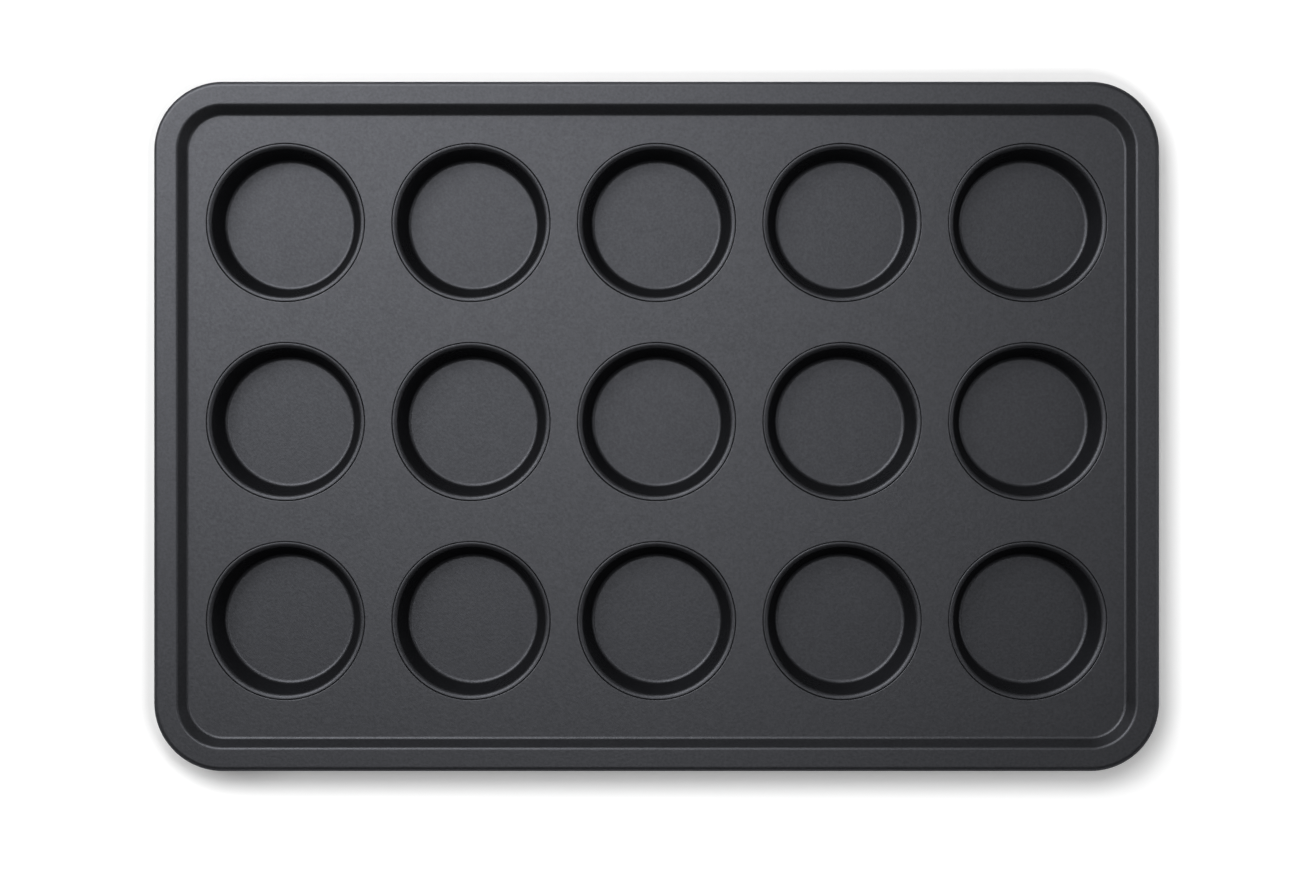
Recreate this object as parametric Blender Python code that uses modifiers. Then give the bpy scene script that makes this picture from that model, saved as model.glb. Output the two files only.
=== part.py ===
"""Hamburger bun pan: fifteen drawn cups locked into one pierced sheet, with a wire in its rolled rim.

+X runs along the pan's long side, +Y to its back and +Z up. The origin is on the surface that the
pan stands on, under the middle of its outline. Sizes are in metres and angles in degrees.
"""

import math

import bmesh
import bpy
from mathutils import Matrix, Vector

# The array of cups and the flat lands of the sheet between and around their holes
CUP_COLUMNS = 5
CUP_ROWS = 3
LAND_BETWEEN_COLUMNS = 0.0162
LAND_BETWEEN_ROWS = 0.0251
END_LAND = 0.0103
BACK_LAND = 0.0170
FRONT_LAND = 0.0232
PLATE_CORNER_RADIUS = 0.0230

# The drawn cup, measured on its inside
CUP_GAUGE = 0.0006
CUP_DEPTH = 0.0190
CUP_FLOOR_RADIUS = 0.0402
CUP_FLOOR_FILLET = 0.0040
CUP_LIP_RADIUS = 0.0030
CUP_WALL_DRAFT = 18.5

# The lock seam: the sheet's collar stands in a channel folded at the cup's edge, with a hook behind it
FIT_CLEARANCE = 0.0003
SKIRT_FLARE = 0.0006
COLLAR_FLARE = 0.0005
COLLAR_DEPTH = 0.0026
HOOK_LAP = 0.55

# The sheet's raised rim, rolled round a steel wire
SHEET_GAUGE = 0.0006
RIM_RISE = 0.0080
RIM_WALL_DRAFT = 34.0
RIM_FILLET = 0.0027
FLANGE_FLAT = 0.0103
WIRE_DIAMETER = 0.0045
WIRE_END_GAP = 0.0010
CURL_OPENING = 90.0

# How finely the round forms are faceted
CUP_FACETS = 20
CORNER_FACETS = 5
FILLET_FACETS = 2
CURL_FACETS = 6
SMOOTH_BELOW = 40.0


def arc(centre, radius, start, end, facets):
    """Points of an arc in a section plane, from the angle start to the angle end."""
    angles = [math.radians(start + (end - start) * i / facets) for i in range(facets + 1)]
    return [(centre[0] + radius * math.cos(a), centre[1] + radius * math.sin(a)) for a in angles]


def drawn_wall(foot, rise, draft, foot_radius, crest_radius):
    """Section of a wall drawn up from a flat to a crest, with a fillet at each and a draft between."""
    slope = math.radians(90.0 - draft)
    radii = foot_radius + crest_radius
    straight = rise - radii * (1.0 - math.cos(slope))
    run = radii * math.sin(slope) + straight / math.tan(slope)
    foot_centre = (foot[0], foot[1] + foot_radius)
    crest_centre = (foot[0] + run, foot[1] + rise - crest_radius)
    foot_arc = arc(foot_centre, foot_radius, -90.0, -draft, FILLET_FACETS)
    crest_arc = arc(crest_centre, crest_radius, 180.0 - draft, 90.0, FILLET_FACETS)
    return foot_arc + crest_arc


def plate_height():
    """Height of the sheet's flat top over the surface that the cups stand on."""
    return CUP_GAUGE + CUP_DEPTH


def cup_bowl_section():
    """Section of a cup's inside, from the middle of its floor to the crest of its lip."""
    floor_edge = (CUP_FLOOR_RADIUS, CUP_GAUGE)
    wall = drawn_wall(floor_edge, CUP_DEPTH, CUP_WALL_DRAFT, CUP_FLOOR_FILLET, CUP_LIP_RADIUS)
    return [(0.0, CUP_GAUGE)] + wall


def skirt_foot_radius():
    """Radius at which the skirt below the lip reaches the floor of the seam's channel."""
    return cup_bowl_section()[-1][0] + SKIRT_FLARE


def collar_foot_radius():
    """Inner radius of the collar's foot, one clearance outside the skirt."""
    return skirt_foot_radius() + FIT_CLEARANCE


def hole_radius():
    """Radius at which the sheet's flat top turns down into the collar."""
    return collar_foot_radius() + COLLAR_FLARE


def cup_section():
    """Section of a cup's whole upper skin: bowl, lip, skirt, channel floor and hook."""
    collar_tilt = math.atan2(COLLAR_FLARE, COLLAR_DEPTH)
    collar_bottom = plate_height() - COLLAR_DEPTH - SHEET_GAUGE * math.sin(collar_tilt)
    channel_floor = collar_bottom - FIT_CLEARANCE
    channel_outer = collar_foot_radius() + SHEET_GAUGE + FIT_CLEARANCE
    hook_height = HOOK_LAP * (plate_height() - SHEET_GAUGE - channel_floor)
    return cup_bowl_section() + [
        (skirt_foot_radius(), channel_floor),
        (channel_outer, channel_floor),
        (channel_outer + hook_height * math.tan(collar_tilt), channel_floor + hook_height),
    ]


def rim_section():
    """Section of the rim's upper skin, from the edge of the flat plate out and round the curl.

    Returns it as (distance out, height) with the centre of the curl, where the wire lies.
    """
    half_facet = math.radians((360.0 - CURL_OPENING) / CURL_FACETS / 2.0)
    curl_radius = (WIRE_DIAMETER / 2.0 + FIT_CLEARANCE) / math.cos(half_facet) + SHEET_GAUGE
    wall = drawn_wall((0.0, plate_height()), RIM_RISE, RIM_WALL_DRAFT, RIM_FILLET, RIM_FILLET)
    crest_out, crest_height = wall[-1]
    centre = (crest_out + FLANGE_FLAT, crest_height - curl_radius)
    curl = arc(centre, curl_radius, 90.0, CURL_OPENING - 270.0, CURL_FACETS)
    return wall + curl, centre


def pitch(land):
    """Distance between the axes of neighbouring cups with that land between their holes."""
    return 2.0 * hole_radius() + land


def plate_half_size():
    """Half the length and half the width of the flat plate inside the rim's wall."""
    hole = 2.0 * hole_radius()
    length = (CUP_COLUMNS - 1) * pitch(LAND_BETWEEN_COLUMNS) + hole + 2.0 * END_LAND
    width = (CUP_ROWS - 1) * pitch(LAND_BETWEEN_ROWS) + hole + BACK_LAND + FRONT_LAND
    return length / 2.0, width / 2.0


def cup_places():
    """Row, column, x and y of each cup, from the back left one as seen from above."""
    half_length, half_width = plate_half_size()
    first_x = END_LAND + hole_radius() - half_length
    first_y = half_width - BACK_LAND - hole_radius()
    for row in range(CUP_ROWS):
        for column in range(CUP_COLUMNS):
            x = first_x + column * pitch(LAND_BETWEEN_COLUMNS)
            y = first_y - row * pitch(LAND_BETWEEN_ROWS)
            yield row + 1, column + 1, x, y


def corner_centre():
    """Where the rim's rounded corner at the back right has its centre, as x and y."""
    half_length, half_width = plate_half_size()
    return half_length - PLATE_CORNER_RADIUS, half_width - PLATE_CORNER_RADIUS


def rounded_outline(distance_out, height):
    """Points of the plate's rounded outline moved out, anticlockwise from the right-hand side."""
    corner_x, corner_y = corner_centre()
    radius = PLATE_CORNER_RADIUS + distance_out
    points = []
    for quarter, (side_x, side_y) in enumerate(((1, 1), (-1, 1), (-1, -1), (1, -1))):
        centre = (side_x * corner_x, side_y * corner_y)
        corner = arc(centre, radius, 90.0 * quarter, 90.0 * (quarter + 1), CORNER_FACETS)
        points += [(x, y, height) for x, y in corner]
    return points


def finish(name, colour, roughness, metallic):
    """A Principled material of the given linear colour."""
    material = bpy.data.materials.new(name)
    material.use_nodes = True
    shader = material.node_tree.nodes["Principled BSDF"]
    shader.inputs["Base Color"].default_value = colour
    shader.inputs["Roughness"].default_value = roughness
    shader.inputs["Metallic"].default_value = metallic
    return material


def add_object(name, data, collection):
    """A new object with that mesh or curve."""
    made = bpy.data.objects.new(name, data)
    collection.objects.link(made)
    return made


def mesh_from(bm, name, material):
    """Turns the bmesh into a smooth-shaded mesh with that material."""
    mesh = bpy.data.meshes.new(name)
    bm.to_mesh(mesh)
    bm.free()
    mesh.materials.append(material)
    mesh.shade_smooth()
    mesh.set_sharp_from_angle(angle=math.radians(SMOOTH_BELOW))
    return mesh


def thicken(made, gauge):
    """Gives a skin the gauge of its sheet metal, on the underside."""
    solidify = made.modifiers.new("gauge", "SOLIDIFY")
    solidify.thickness = gauge
    solidify.offset = -1.0
    solidify.use_even_offset = True
    solidify.use_quality_normals = True


def add_loop(bm, points):
    """Edges of a closed loop through the points."""
    vertices = [bm.verts.new(point) for point in points]
    return [bm.edges.new(pair) for pair in zip(vertices, vertices[1:] + vertices[:1])]


def draw_rim(bm, edge, distance_out, height):
    """Draws the sheet's outer edge on to the next point of the rim's section, and gives the new edge."""
    drawn = bmesh.ops.extrude_edge_only(bm, edges=edge)["geom"]
    corner_x, corner_y = corner_centre()
    radius = PLATE_CORNER_RADIUS + distance_out
    for vertex in (item for item in drawn if isinstance(item, bmesh.types.BMVert)):
        centre = Vector((math.copysign(corner_x, vertex.co.x), math.copysign(corner_y, vertex.co.y)))
        vertex.co.xy = centre + (vertex.co.xy - centre).normalized() * radius
        vertex.co.z = height
    return [item for item in drawn if isinstance(item, bmesh.types.BMEdge) and item.is_boundary]


def add_hole(bm, x, y):
    """Edges of a cup's hole in the flat plate, with its facets in step with those of the cup."""
    in_step = Matrix.Translation((x, y, plate_height())) @ Matrix.Rotation(-math.pi / 2.0, 4, "Z")
    made = bmesh.ops.create_circle(bm, segments=CUP_FACETS, radius=hole_radius(), matrix=in_step)
    return list({edge for vertex in made["verts"] for edge in vertex.link_edges})


def draw_collar(bm, hole, x, y):
    """Draws the edge of a hole down and in to the foot of its collar."""
    drawn = bmesh.ops.extrude_edge_only(bm, edges=hole)["geom"]
    foot = [item for item in drawn if isinstance(item, bmesh.types.BMVert)]
    narrowing = collar_foot_radius() / hole_radius()
    about_axis = Matrix.Translation((-x, -y, 0.0))
    bmesh.ops.scale(bm, verts=foot, vec=(narrowing, narrowing, 1.0), space=about_axis)
    bmesh.ops.translate(bm, verts=foot, vec=(0.0, 0.0, -COLLAR_DEPTH))


def make_sheet(collection):
    """The pressed sheet: flat plate with a collar at each hole, raised rim, flange and curl."""
    bm = bmesh.new()
    (plate_edge, *rim_points), _ = rim_section()
    edge = add_loop(bm, rounded_outline(*plate_edge))
    holes = [(add_hole(bm, x, y), x, y) for _, _, x, y in cup_places()]
    hole_edges = [hole_edge for hole, _, _ in holes for hole_edge in hole]
    bmesh.ops.triangle_fill(bm, edges=edge + hole_edges, use_beauty=True, normal=(0.0, 0.0, 1.0))
    for point in rim_points:
        edge = draw_rim(bm, edge, *point)
    for hole, x, y in holes:
        draw_collar(bm, hole, x, y)
    bmesh.ops.recalc_face_normals(bm, faces=bm.faces)
    flattest = max(bm.faces, key=lambda face: abs(face.normal.z))
    if flattest.normal.z < 0.0:
        bmesh.ops.reverse_faces(bm, faces=bm.faces)
    coating = finish("sheet_nonstick_coating", (0.036, 0.036, 0.039, 1.0), 0.45, 0.0)
    thicken(add_object("pan_sheet", mesh_from(bm, "pan_sheet", coating), collection), SHEET_GAUGE)


def make_rim_wire(collection):
    """The wire bent to lie in the rim's curl, its ends butted at the middle of the back."""
    _, centre = rim_section()
    path = rounded_outline(*centre)
    back_left = CORNER_FACETS + 1
    left_end = (-WIRE_END_GAP / 2.0, path[back_left][1], centre[1])
    right_end = (WIRE_END_GAP / 2.0, path[back_left][1], centre[1])
    points = [left_end] + path[back_left:] + path[:back_left] + [right_end]
    curve = bpy.data.curves.new("rim_wire", "CURVE")
    curve.dimensions = "3D"
    curve.bevel_depth = WIRE_DIAMETER / 2.0
    curve.bevel_resolution = 2
    curve.use_fill_caps = True
    spline = curve.splines.new("POLY")
    spline.points.add(len(points) - 1)
    for target, point in zip(spline.points, points):
        target.co = (*point, 1.0)
    curve.materials.append(finish("rim_wire_steel", (0.46, 0.47, 0.48, 1.0), 0.35, 1.0))
    add_object("rim_wire", curve, collection)


def make_cups(collection):
    """The drawn cups: one section turned round each cup's own axis and given its gauge."""
    bm = bmesh.new()
    vertices = [bm.verts.new((radius, 0.0, height)) for radius, height in cup_section()]
    for pair in zip(vertices, vertices[1:]):
        bm.edges.new(pair)
    coating = finish("cup_nonstick_coating", (0.032, 0.032, 0.035, 1.0), 0.45, 0.0)
    mesh = mesh_from(bm, "cup_section", coating)
    for row, column, x, y in cup_places():
        cup = add_object(f"cup_row{row}_col{column}", mesh, collection)
        cup.location = (x, y, 0.0)
        turn = cup.modifiers.new("turn", "SCREW")
        turn.steps = CUP_FACETS
        turn.render_steps = CUP_FACETS
        turn.use_merge_vertices = True
        turn.merge_threshold = 0.00001
        thicken(cup, CUP_GAUGE)


for old in list(bpy.data.objects):
    bpy.data.objects.remove(old)
pan = bpy.data.collections.new("hamburger_bun_pan")
bpy.context.scene.collection.children.link(pan)
make_sheet(pan)
make_rim_wire(pan)
make_cups(pan)
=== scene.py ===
import math

import bmesh
import bpy
from mathutils import Matrix, Vector


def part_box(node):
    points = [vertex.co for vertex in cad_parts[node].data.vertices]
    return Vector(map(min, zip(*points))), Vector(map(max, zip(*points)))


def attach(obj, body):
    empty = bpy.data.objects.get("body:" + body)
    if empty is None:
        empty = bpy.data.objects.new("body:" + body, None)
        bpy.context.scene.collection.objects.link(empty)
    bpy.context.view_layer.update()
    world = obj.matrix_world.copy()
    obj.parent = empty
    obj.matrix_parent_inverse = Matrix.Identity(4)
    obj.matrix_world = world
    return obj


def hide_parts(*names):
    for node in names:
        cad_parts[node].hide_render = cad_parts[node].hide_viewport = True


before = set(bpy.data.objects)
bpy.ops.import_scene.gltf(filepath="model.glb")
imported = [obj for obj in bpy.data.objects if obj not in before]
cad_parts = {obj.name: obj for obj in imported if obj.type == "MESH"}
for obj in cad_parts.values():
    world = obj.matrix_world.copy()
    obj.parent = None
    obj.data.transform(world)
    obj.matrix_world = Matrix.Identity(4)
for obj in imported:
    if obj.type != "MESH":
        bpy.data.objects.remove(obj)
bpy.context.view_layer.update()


# The pressed sheet: one piece of thin steel with a flat plate, a raised wall, a flange and an edge
# curled round a wire. Its fifteen holes are pierced and their edges drawn down into short collars.
# It is coated all over with a dark grey non-stick finish, sprayed and baked on after forming.
MM = 0.001
GAUGE = 0.6 * MM
RIM_WALL_DRAFT = 34.0  # degrees from upright
RIM_FILLET = 2.2 * MM
FLANGE_FLAT = 10.9 * MM
PLATE_CORNER_RADIUS = 23.0 * MM
CURL_SWEEP = 270.0  # degrees
HOLE_RADIUS = 52.7 * MM
HOLE_BEND = 0.5 * MM
COLLAR_DEPTH = 2.6 * MM
PLATE_BORDER = 2.0 * MM  # the flat strip of the plate that is made with the rim
HOLDING_DISTANCE = 0.25 * MM
MERGE_DISTANCE = 0.001 * MM
CORNER_STEPS = 24
ROUND_STEPS = 96
ARC_STEP = 9.0  # degrees
SHEET_FILM = "#535458"
PIGMENT_SHARE = 0.93
SATIN_ROUGHNESS = 0.46
CLOUD_SIZE = 14.0 * MM
CLOUD_CHANGE = 0.045
PEEL_SIZE = 1.7 * MM
PEEL_DEPTH = 0.06 * MM
PIT_SHEEN = 0.63
GLANCING_SHEEN = "#7c7c7c"

_, sheet_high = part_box("pan_sheet")
wire_low, wire_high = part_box("rim_wire")
cup_boxes = {name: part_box(name) for name in sorted(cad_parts) if name.startswith("cup_")}
cup_centres = {
    name: Vector(((low.x + high.x) / 2.0, (low.y + high.y) / 2.0, 0.0))
    for name, (low, high) in cup_boxes.items()
}
plate_top = max(high.z for low, high in cup_boxes.values())
rim_top = sheet_high.z
collar_radius = HOLE_RADIUS - HOLE_BEND
fillet_reach = RIM_FILLET * math.tan(math.radians(90.0 - RIM_WALL_DRAFT) / 2.0)
wall_run = (rim_top - plate_top) * math.tan(math.radians(RIM_WALL_DRAFT))
curl_radius = rim_top - (wire_low.z + wire_high.z) / 2.0
curl_corner_radius = PLATE_CORNER_RADIUS + (2.0 * fillet_reach + wall_run) + FLANGE_FLAT
rim_corner_radius = curl_corner_radius + curl_radius


def rounded_section(corners):
    """Points of a section through the corners (x, z, radius), each rounded with its own radius."""
    points = [Vector(corners[0][:2])]
    for (x0, z0, _), (x, z, radius), (x2, z2, _) in zip(corners, corners[1:], corners[2:]):
        corner = Vector((x, z))
        back = (Vector((x0, z0)) - corner).normalized()
        ahead = (Vector((x2, z2)) - corner).normalized()
        half = back.angle(ahead) / 2.0
        centre = corner + (back + ahead).normalized() * radius / math.sin(half)
        first = corner + back * radius / math.tan(half) - centre
        turn = math.copysign(math.pi - 2.0 * half, -back.cross(ahead))
        steps = max(2, round(math.degrees(abs(turn)) / ARC_STEP))
        for i in range(steps + 1):
            points.append(centre + Matrix.Rotation(turn * i / steps, 2) @ first)
    return points + [Vector(corners[-1][:2])]


def with_holding_points(points):
    """The section with a point close to both ends of each long straight run, which keeps it flat."""
    held = [points[0]]
    for a, b in zip(points, points[1:]):
        run = b - a
        if run.length > 4.0 * HOLDING_DISTANCE:
            step = run.normalized() * HOLDING_DISTANCE
            held += [a + step, b - step]
        held.append(b)
    return held


def section_edges(bm, points):
    """Vertices and edges of a section, drawn upright with its first measure across and its second up."""
    verts = [bm.verts.new((across, 0.0, up)) for across, up in points]
    return verts + [bm.edges.new(pair) for pair in zip(verts, verts[1:])]


def rim_section():
    """The rim's upper skin as (distance from the corner's centre, height), from the plate outwards."""
    foot = PLATE_CORNER_RADIUS + fillet_reach
    crest = foot + wall_run
    section = rounded_section(
        [
            (PLATE_CORNER_RADIUS - PLATE_BORDER, plate_top, 0.0),
            (foot, plate_top, RIM_FILLET),
            (crest, rim_top, RIM_FILLET),
            (curl_corner_radius, rim_top, 0.0),
        ]
    )
    centre = Vector((curl_corner_radius, rim_top - curl_radius))
    steps = round(CURL_SWEEP / ARC_STEP)
    for i in range(1, steps + 1):
        angle = math.radians(90.0 - CURL_SWEEP * i / steps)
        section.append(centre + curl_radius * Vector((math.cos(angle), math.sin(angle))))
    return with_holding_points(section)


def spun_rim(bm):
    """One corner of the rim spun, its two ends drawn out to the middles of the sides, and mirrored."""
    centre = Vector((sheet_high.x - rim_corner_radius, sheet_high.y - rim_corner_radius, 0.0))
    start = section_edges(bm, rim_section())
    bmesh.ops.translate(bm, verts=bm.verts[:], vec=centre)
    side_end = [item for item in start if isinstance(item, bmesh.types.BMEdge)]
    spun = bmesh.ops.spin(
        bm, geom=start, cent=centre, axis=(0.0, 0.0, 1.0), angle=math.pi / 2.0, steps=CORNER_STEPS
    )["geom_last"]
    back_end = [item for item in spun if isinstance(item, bmesh.types.BMEdge)]
    for end, run in ((side_end, (0.0, -centre.y, 0.0)), (back_end, (-centre.x, 0.0, 0.0))):
        drawn = bmesh.ops.extrude_edge_only(bm, edges=end)["geom"]
        moved = [item for item in drawn if isinstance(item, bmesh.types.BMVert)]
        bmesh.ops.translate(bm, verts=moved, vec=run)
    for axis in ("X", "Y"):
        whole = bm.verts[:] + bm.edges[:] + bm.faces[:]
        bmesh.ops.mirror(bm, geom=whole, axis=axis, merge_dist=MERGE_DISTANCE)
    bmesh.ops.remove_doubles(bm, verts=bm.verts[:], dist=MERGE_DISTANCE)


def collar_section():
    """The collar's inner skin as (radius, height), from the flat plate in and down to its foot."""
    return with_holding_points(
        rounded_section(
            [
                (HOLE_RADIUS + 2.0 * HOLDING_DISTANCE, plate_top, 0.0),
                (collar_radius, plate_top, HOLE_BEND),
                (collar_radius, plate_top - COLLAR_DEPTH, 0.0),
            ]
        )
    )


def draw_collar(bm, hole, centre, section):
    """Draws the edge of a hole in and down along the collar's section."""
    edge = hole
    for (radius, height), (next_radius, next_height) in zip(section, section[1:]):
        drawn = bmesh.ops.extrude_edge_only(bm, edges=edge)["geom"]
        moved = [item for item in drawn if isinstance(item, bmesh.types.BMVert)]
        narrowing = next_radius / radius
        about_axis = Matrix.Translation(-centre)
        bmesh.ops.scale(bm, verts=moved, vec=(narrowing, narrowing, 1.0), space=about_axis)
        bmesh.ops.translate(bm, verts=moved, vec=(0.0, 0.0, next_height - height))
        edge = [item for item in drawn if isinstance(item, bmesh.types.BMEdge) and item.is_boundary]


def face_up(bm, level_face):
    """Points a skin's faces out of its upper side, by one level face. The gauge goes on the other."""
    bmesh.ops.recalc_face_normals(bm, faces=bm.faces[:])
    if level_face.normal.z < 0.0:
        bmesh.ops.reverse_faces(bm, faces=bm.faces[:])


def add_object(name, data):
    """A new object of that name in the scene."""
    added = bpy.data.objects.new(name, data)
    bpy.context.scene.collection.objects.link(added)
    return added


def mesh_object(bm, name, material):
    """The bmesh as a smooth object of that name, with its material."""
    mesh = bpy.data.meshes.new(name)
    bm.to_mesh(mesh)
    mesh.materials.append(material)
    mesh.shade_smooth()
    return add_object(name, mesh)


def give_gauge(made):
    """Gives a skin the sheet's gauge on its underside, with square sheared edges."""
    solid = made.modifiers.new("gauge", "SOLIDIFY")
    solid.thickness = GAUGE
    solid.offset = -1.0
    solid.use_even_offset = True
    solid.use_quality_normals = True


def linear(hex_colour):
    """A colour written as sRGB hex, as linear light with full alpha."""
    channels = [int(hex_colour[i : i + 2], 16) / 255.0 for i in (1, 3, 5)]
    return [c / 12.92 if c <= 0.04045 else ((c + 0.055) / 1.055) ** 2.4 for c in channels] + [1.0]


def empty_tree(holder):
    """The node tree of a material or a world, emptied for nodes of its own."""
    holder.use_nodes = True
    holder.node_tree.nodes.clear()
    return holder.node_tree


def add_node(tree, kind, settings=None, links=None):
    """Adds a node, with its attributes or input values and the sockets that feed its inputs."""
    node = tree.nodes.new(kind)
    for key, value in (settings or {}).items():
        if isinstance(key, str) and hasattr(node, key):
            setattr(node, key, value)
        else:
            node.inputs[key].default_value = value
    for key, socket in (links or {}).items():
        tree.links.new(socket, node.inputs[key])
    return node


def nonstick_coating(name, film):
    """A sprayed and baked non-stick coating: a satin film, full of a fine dark metallic pigment.

    The pigment keeps it as dull at a glancing angle as from above. Its fine orange peel gives the
    grain, as the pits shine less than the film between them, and uneven film leaves soft clouds in
    the sheen. The peel is drawn about twice as coarse as real, to be seen from the camera.
    """
    material = bpy.data.materials.new(name)
    tree = empty_tree(material)
    place = add_node(tree, "ShaderNodeTexCoord").outputs["Object"]
    clouds = add_node(
        tree,
        "ShaderNodeTexNoise",
        {"Scale": 1.0 / CLOUD_SIZE, "Detail": 3.0, "Roughness": 0.6},
        {"Vector": place},
    ).outputs["Fac"]
    peel = add_node(
        tree,
        "ShaderNodeTexNoise",
        {"Scale": 1.0 / PEEL_SIZE, "Detail": 1.0, "Roughness": 0.5},
        {"Vector": place},
    ).outputs["Fac"]
    smooth_film = linear(film)
    pit = [PIT_SHEEN * channel for channel in smooth_film[:3]] + [1.0]
    # In a mix of colours, inputs 6 and 7 are the two colours, and output 2 is the result.
    colour = add_node(
        tree, "ShaderNodeMix", {"data_type": "RGBA", 6: pit, 7: smooth_film}, {0: peel}
    ).outputs[2]
    roughness = add_node(
        tree,
        "ShaderNodeMapRange",
        {"To Min": SATIN_ROUGHNESS - CLOUD_CHANGE, "To Max": SATIN_ROUGHNESS + CLOUD_CHANGE},
        {"Value": clouds},
    ).outputs["Result"]
    bump = add_node(
        tree,
        "ShaderNodeBump",
        {"Strength": 1.0, "Distance": PEEL_DEPTH},
        {"Height": peel},
    ).outputs["Normal"]
    shader = add_node(
        tree,
        "ShaderNodeBsdfPrincipled",
        {"Metallic": PIGMENT_SHARE, "Specular Tint": linear(GLANCING_SHEEN)},
        {"Base Color": colour, "Roughness": roughness, "Normal": bump},
    )
    add_node(tree, "ShaderNodeOutputMaterial", None, {"Surface": shader.outputs["BSDF"]})
    return material


sheet_mesh = bmesh.new()
spun_rim(sheet_mesh)
plate_edges = [
    edge
    for edge in sheet_mesh.edges
    if edge.is_boundary and all(abs(vert.co.z - plate_top) < MERGE_DISTANCE for vert in edge.verts)
]
collar = collar_section()
holes = []
for centre in cup_centres.values():
    circle = bmesh.ops.create_circle(
        sheet_mesh,
        segments=ROUND_STEPS,
        radius=collar[0].x,
        matrix=Matrix.Translation(centre + Vector((0.0, 0.0, plate_top))),
    )["verts"]
    hole = list(dict.fromkeys(edge for vert in circle for edge in vert.link_edges))
    holes.append((hole, centre))
hole_edges = [edge for hole, _ in holes for edge in hole]
bmesh.ops.triangle_fill(
    sheet_mesh, edges=plate_edges + hole_edges, use_beauty=True, normal=(0.0, 0.0, 1.0)
)
for hole, centre in holes:
    draw_collar(sheet_mesh, hole, centre, collar)
face_up(sheet_mesh, max(sheet_mesh.faces, key=lambda face: face.calc_area()))
sheet_coating = nonstick_coating("non_stick_coated_steel_sheet", SHEET_FILM)
sheet = mesh_object(sheet_mesh, "pressed_sheet", sheet_coating)
give_gauge(sheet)
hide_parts("pan_sheet")
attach(sheet, "root")


# The rim wire: a length of bare drawn steel wire bent to the rim's outline. The curl is rolled
# tight round it, so it stiffens the edge and shows only through the curl's mouth underneath.
WIRE_BUTT_GAP = 1.0 * MM
WIRE_ROUNDNESS = 6
WIRE_STEEL = "#b4b5b6"
DIE_MARK_SIZE = 0.8 * MM
WIRE_ROUGHNESS = (0.28, 0.45)

wire_radius = (wire_high.z - wire_low.z) / 2.0
wire_height = (wire_high.z + wire_low.z) / 2.0


def wire_path():
    """The wire's axis, from one butted end at the middle of the back, round to the other."""
    bend = curl_corner_radius
    centre_x = sheet_high.x - curl_radius - bend
    centre_y = sheet_high.y - curl_radius - bend
    back_y = centre_y + bend
    points = [(-WIRE_BUTT_GAP / 2.0, back_y)]
    for quarter, (side_x, side_y) in enumerate(((-1, 1), (-1, -1), (1, -1), (1, 1))):
        for i in range(CORNER_STEPS + 1):
            angle = math.radians(90.0 * (quarter + 1 + i / CORNER_STEPS))
            x = side_x * centre_x + bend * math.cos(angle)
            y = side_y * centre_y + bend * math.sin(angle)
            points.append((x, y))
    return points + [(WIRE_BUTT_GAP / 2.0, back_y)]


def bright_drawn_wire():
    """Bare drawn steel wire: a plain grey metal, whose shine the die has left a little uneven."""
    material = bpy.data.materials.new("bright_drawn_steel_wire")
    tree = empty_tree(material)
    place = add_node(tree, "ShaderNodeTexCoord").outputs["Object"]
    die_marks = add_node(
        tree,
        "ShaderNodeTexNoise",
        {"Scale": 1.0 / DIE_MARK_SIZE, "Detail": 2.0},
        {"Vector": place},
    ).outputs["Fac"]
    smoothest, roughest = WIRE_ROUGHNESS
    roughness = add_node(
        tree, "ShaderNodeMapRange", {"To Min": smoothest, "To Max": roughest}, {"Value": die_marks}
    ).outputs["Result"]
    shader = add_node(
        tree,
        "ShaderNodeBsdfPrincipled",
        {"Base Color": linear(WIRE_STEEL), "Metallic": 1.0},
        {"Roughness": roughness},
    )
    add_node(tree, "ShaderNodeOutputMaterial", None, {"Surface": shader.outputs["BSDF"]})
    return material


wire_curve = bpy.data.curves.new("bent_rim_wire", "CURVE")
wire_curve.dimensions = "3D"
wire_curve.bevel_depth = wire_radius
wire_curve.bevel_resolution = WIRE_ROUNDNESS
wire_curve.use_fill_caps = True
wire_points = wire_path()
wire_spline = wire_curve.splines.new("POLY")
wire_spline.points.add(len(wire_points) - 1)
for target, (x, y) in zip(wire_spline.points, wire_points):
    target.co = (x, y, wire_height, 1.0)
wire_curve.materials.append(bright_drawn_wire())
wire = add_object("bent_rim_wire", wire_curve)
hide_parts("rim_wire")
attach(wire, "root")


# The cups: fifteen separate steel drawings, each with a flat floor, a drafted wall and a rounded
# lip. The lip folds down inside the sheet's collar and hooks up behind it, which locks the cup in.
# They have the same non-stick coating as the sheet, sprayed on before the seam is closed.
CUP_FLOOR_FILLET = 2.8 * MM
CUP_LIP_RADIUS = 3.0 * MM
CUP_WALL_DRAFT = 17.8  # degrees from upright
CUP_FLAT_FLOOR = 40.95 * MM  # radius
SEAM_CLEARANCE = 0.13 * MM
LIP_BEND = 0.65 * MM
CHANNEL_BEND = 0.3 * MM
HOOK_HEIGHT = 1.33 * MM
# The cups' film is drawn a touch darker than the sheet's, so the cups come out darker than the plate
# between them.
CUP_FILM = "#4e4f53"


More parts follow.
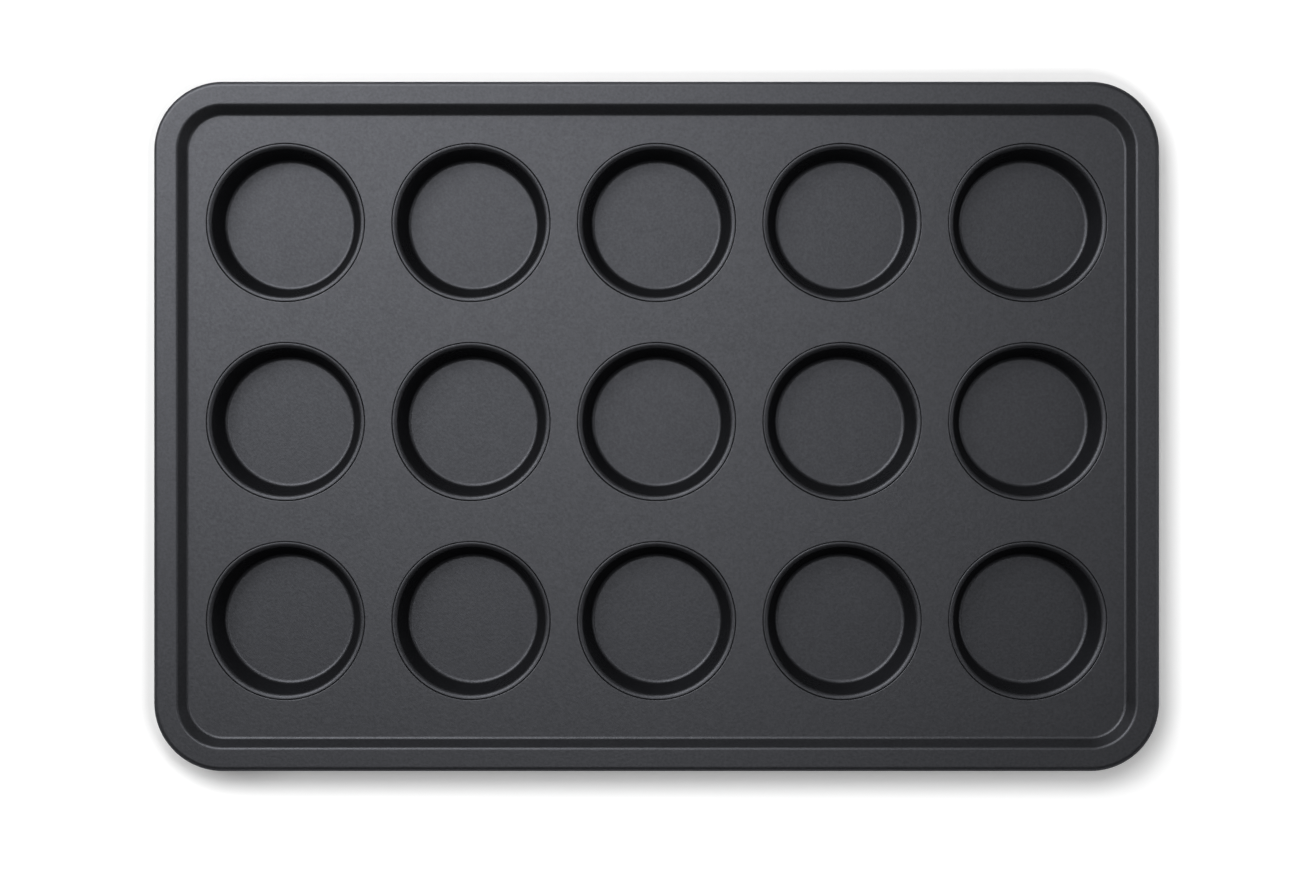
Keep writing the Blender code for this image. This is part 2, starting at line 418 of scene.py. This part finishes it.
def cup_section():
    """A cup's upper skin as (radius, height): floor, wall, lip, skirt, channel and hook."""
    floor = GAUGE
    half_turn = math.radians(90.0 - CUP_WALL_DRAFT) / 2.0
    foot = CUP_FLAT_FLOOR + CUP_FLOOR_FILLET * math.tan(half_turn)
    crest = foot + (plate_top - floor) * math.tan(math.radians(CUP_WALL_DRAFT))
    skirt = collar_radius - SEAM_CLEARANCE
    hook = collar_radius + GAUGE + SEAM_CLEARANCE
    channel = plate_top - COLLAR_DEPTH - SEAM_CLEARANCE
    return with_holding_points(
        rounded_section(
            [
                (0.0, floor, 0.0),
                (foot, floor, CUP_FLOOR_FILLET),
                (crest, plate_top, CUP_LIP_RADIUS),
                (skirt, plate_top, LIP_BEND),
                (skirt, channel, CHANNEL_BEND),
                (hook, channel, CHANNEL_BEND),
                (hook, channel + HOOK_HEIGHT, 0.0),
            ]
        )
    )


cup_mesh = bmesh.new()
bmesh.ops.spin(
    cup_mesh,
    geom=section_edges(cup_mesh, cup_section()),
    cent=(0.0, 0.0, 0.0),
    axis=(0.0, 0.0, 1.0),
    angle=2.0 * math.pi,
    steps=ROUND_STEPS,
    use_merge=True,
)
bmesh.ops.remove_doubles(cup_mesh, verts=cup_mesh.verts[:], dist=MERGE_DISTANCE)
face_up(cup_mesh, min(cup_mesh.faces, key=lambda face: face.calc_center_median().length))
cup_coating = nonstick_coating("non_stick_coated_drawn_steel", CUP_FILM)
for node, centre in cup_centres.items():
    cup = mesh_object(cup_mesh, "drawn_" + node, cup_coating)
    cup.data.transform(Matrix.Translation(centre))
    give_gauge(cup)
    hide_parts(node)
    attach(cup, "root")


# The studio: a pale floor of matt paper that the pan stands on, with a painted glow that fades the
# pan's shadow out, a long low softbox and a broad high one at the back left, a small one overhead
# and a white card at the right. White walls stand round it under a dark ceiling, so the coating's
# sheen fades towards the front right.
PAPER_RADIUS = 30.0  # metres
PAPER_WHITE = "#f3f3f3"
LIT_WHITE = "#ffffff"
# A painted bounce glow on the paper, which lifts the pan's shadow on the right and in front.
PAINTED_BOUNCE_GLOW = 0.22
PAINTED_BOUNCE_EDGE = 0.3  # as a share of the pan's half length and half width
# Where the painted glow that fades the shadow out begins and ends, and its level at the end.
SHADOW_NEAR = 9.5 * MM
SHADOW_FAR = 22.0 * MM
PAPER_LIFT = 0.48
HORIZON_NEAR = 0.5  # metres
HORIZON_FAR = 1.6  # metres
LAMP_DISTANCE = 2.2  # metres
CEILING_LIGHT = 0.05
WALL_TOP = 0.1  # as a slope from the pan


def studio_paper():
    """Matt white paper. It keeps the pan's shadow, and beyond it the camera sees it as white.

    The lift to white is a painted glow. Near the pan it grows with the distance from its rounded
    outline, which paints how the shadow fades out, and it grows once more far off. On the right and
    in front, where the shadow falls, a painted glow stands in for the card's bounce and lifts the
    shadow from the edge on.
    """
    material = bpy.data.materials.new("matt_white_studio_paper")
    tree = empty_tree(material)
    place = add_node(tree, "ShaderNodeTexCoord").outputs["Object"]
    shadow_side = (1.0 / sheet_high.x, -1.0 / sheet_high.y, 0.0)
    across = add_node(
        tree, "ShaderNodeVectorMath", {"operation": "DOT_PRODUCT", 1: shadow_side}, {0: place}
    ).outputs["Value"]
    # Painted bounce glow, strongest on the right and in front, where the shadow falls.
    painted_bounce_glow = add_node(
        tree,
        "ShaderNodeMapRange",
        {"From Max": PAINTED_BOUNCE_EDGE, "To Max": PAINTED_BOUNCE_GLOW},
        {"Value": across},
    ).outputs["Result"]
    # One quarter of the paper stands for all four, and reach is counted from the rim's corner centre.
    corner_centre = (sheet_high.x - rim_corner_radius, sheet_high.y - rim_corner_radius, 0.0)
    beyond = add_node(tree, "ShaderNodeVectorMath", {"operation": "ABSOLUTE"}, {0: place}).outputs[0]
    for operation, other in (("SUBTRACT", corner_centre), ("MAXIMUM", (0.0, 0.0, 0.0))):
        beyond = add_node(
            tree, "ShaderNodeVectorMath", {"operation": operation, 1: other}, {0: beyond}
        ).outputs[0]
    reach = add_node(
        tree, "ShaderNodeVectorMath", {"operation": "LENGTH"}, {0: beyond}
    ).outputs["Value"]
    # A painted glow that grows away from the pan's outline and paints how its shadow fades out.
    painted_shadow_fade = add_node(
        tree,
        "ShaderNodeMapRange",
        {
            "From Min": rim_corner_radius + SHADOW_NEAR,
            "From Max": rim_corner_radius + SHADOW_FAR,
            "To Max": PAPER_LIFT,
        },
        {"Value": reach, "To Min": painted_bounce_glow},
    ).outputs["Result"]
    far_lift = add_node(
        tree,
        "ShaderNodeMapRange",
        {"From Min": HORIZON_NEAR, "From Max": HORIZON_FAR, "To Max": 1.0 - PAPER_LIFT},
        {"Value": reach},
    ).outputs["Result"]
    lift = add_node(
        tree, "ShaderNodeMath", {"operation": "ADD"}, {0: painted_shadow_fade, 1: far_lift}
    ).outputs["Value"]
    path = add_node(tree, "ShaderNodeLightPath").outputs
    seen = path["Is Camera Ray"]
    for ray in ("Is Glossy Ray", "Is Transmission Ray"):
        seen = add_node(
            tree, "ShaderNodeMath", {"operation": "MAXIMUM"}, {0: seen, 1: path[ray]}
        ).outputs["Value"]
    strength = add_node(
        tree, "ShaderNodeMath", {"operation": "MULTIPLY"}, {0: seen, 1: lift}
    ).outputs["Value"]
    shader = add_node(
        tree,
        "ShaderNodeBsdfPrincipled",
        {
            "Base Color": linear(PAPER_WHITE),
            "Roughness": 1.0,
            "Specular IOR Level": 0.0,
            "Emission Color": linear(LIT_WHITE),
        },
        {"Emission Strength": strength},
    )
    add_node(tree, "ShaderNodeOutputMaterial", None, {"Surface": shader.outputs["BSDF"]})
    return material


paper_mesh = bmesh.new()
bmesh.ops.create_circle(paper_mesh, cap_ends=True, segments=ROUND_STEPS, radius=PAPER_RADIUS)
paper = mesh_object(paper_mesh, "studio_floor", studio_paper())


def studio_lamp(name, azimuth, tilt, width, height, radiance):
    """A flat rectangular lamp, even over its face, that looks at the pan's middle.

    Azimuth is in degrees from the pan's right towards its back, and tilt from straight above. The
    lamp's power follows from the radiance of its face, so it keeps its brightness at another size.
    """
    turn, lean = math.radians(azimuth), math.radians(tilt)
    way = Vector((math.cos(turn) * math.sin(lean), math.sin(turn) * math.sin(lean), math.cos(lean)))
    lamp = bpy.data.lights.new(name, "AREA")
    lamp.shape = "RECTANGLE"
    lamp.size = width
    lamp.size_y = height
    lamp.energy = radiance * math.pi * width * height
    holder = add_object(name, lamp)
    holder.location = way * LAMP_DISTANCE
    holder.rotation_euler = (-way).to_track_quat("-Z", "Y").to_euler()


studio_lamp("long_low_softbox", azimuth=132.0, tilt=46.0, width=2.4, height=1.0, radiance=5.3)
studio_lamp("high_softbox", azimuth=122.0, tilt=25.0, width=1.6, height=1.6, radiance=2.1)
studio_lamp("overhead_softbox", azimuth=0.0, tilt=0.0, width=0.8, height=0.8, radiance=2.2)
studio_lamp("white_card", azimuth=0.0, tilt=55.0, width=0.7, height=1.6, radiance=1.6)


def studio_room():
    """The far room: white low down, and dark above but for what the camera sees straight.

    The coating's own reflections meet the dark part, or its sheen wouldn't fade across the pan.
    """
    room = bpy.data.worlds.new("white_walled_room")
    tree = empty_tree(room)
    way = add_node(tree, "ShaderNodeTexCoord").outputs["Generated"]
    rise = add_node(tree, "ShaderNodeSeparateXYZ", None, {0: way}).outputs["Z"]
    white = add_node(
        tree, "ShaderNodeMath", {"operation": "LESS_THAN", 1: WALL_TOP}, {0: rise}
    ).outputs["Value"]
    path = add_node(tree, "ShaderNodeLightPath").outputs
    for ray in ("Is Camera Ray", "Is Transmission Ray"):
        white = add_node(
            tree, "ShaderNodeMath", {"operation": "MAXIMUM"}, {0: white, 1: path[ray]}
        ).outputs["Value"]
    strength = add_node(
        tree, "ShaderNodeMapRange", {"To Min": CEILING_LIGHT, "To Max": 1.0}, {"Value": white}
    ).outputs["Result"]
    light = add_node(
        tree, "ShaderNodeBackground", {"Color": linear(LIT_WHITE)}, {"Strength": strength}
    ).outputs["Background"]
    add_node(tree, "ShaderNodeOutputWorld", None, {"Surface": light})
    return room


bpy.context.scene.world = studio_room()
bpy.context.scene.view_settings.view_transform = "Standard"

# The camera looks straight down from 1.42 m above the plate. It stands a little right and in front
# of the pan's middle, as the photograph's margins and the shift of the cups' floors show.
CAMERA_ABOVE_PLATE = 1.42  # metres
CAMERA_RIGHT = 0.9 * MM
CAMERA_BACK = -7.6 * MM
CAMERA_LENS = 59.0  # millimetres, on a sensor 36 mm wide

camera_data = bpy.data.cameras.new("camera")
camera_data.lens = CAMERA_LENS
camera_data.sensor_width = 36.0
camera = add_object("camera", camera_data)
camera.location = (CAMERA_RIGHT, CAMERA_BACK, plate_top + CAMERA_ABOVE_PLATE)
bpy.context.scene.camera = camera
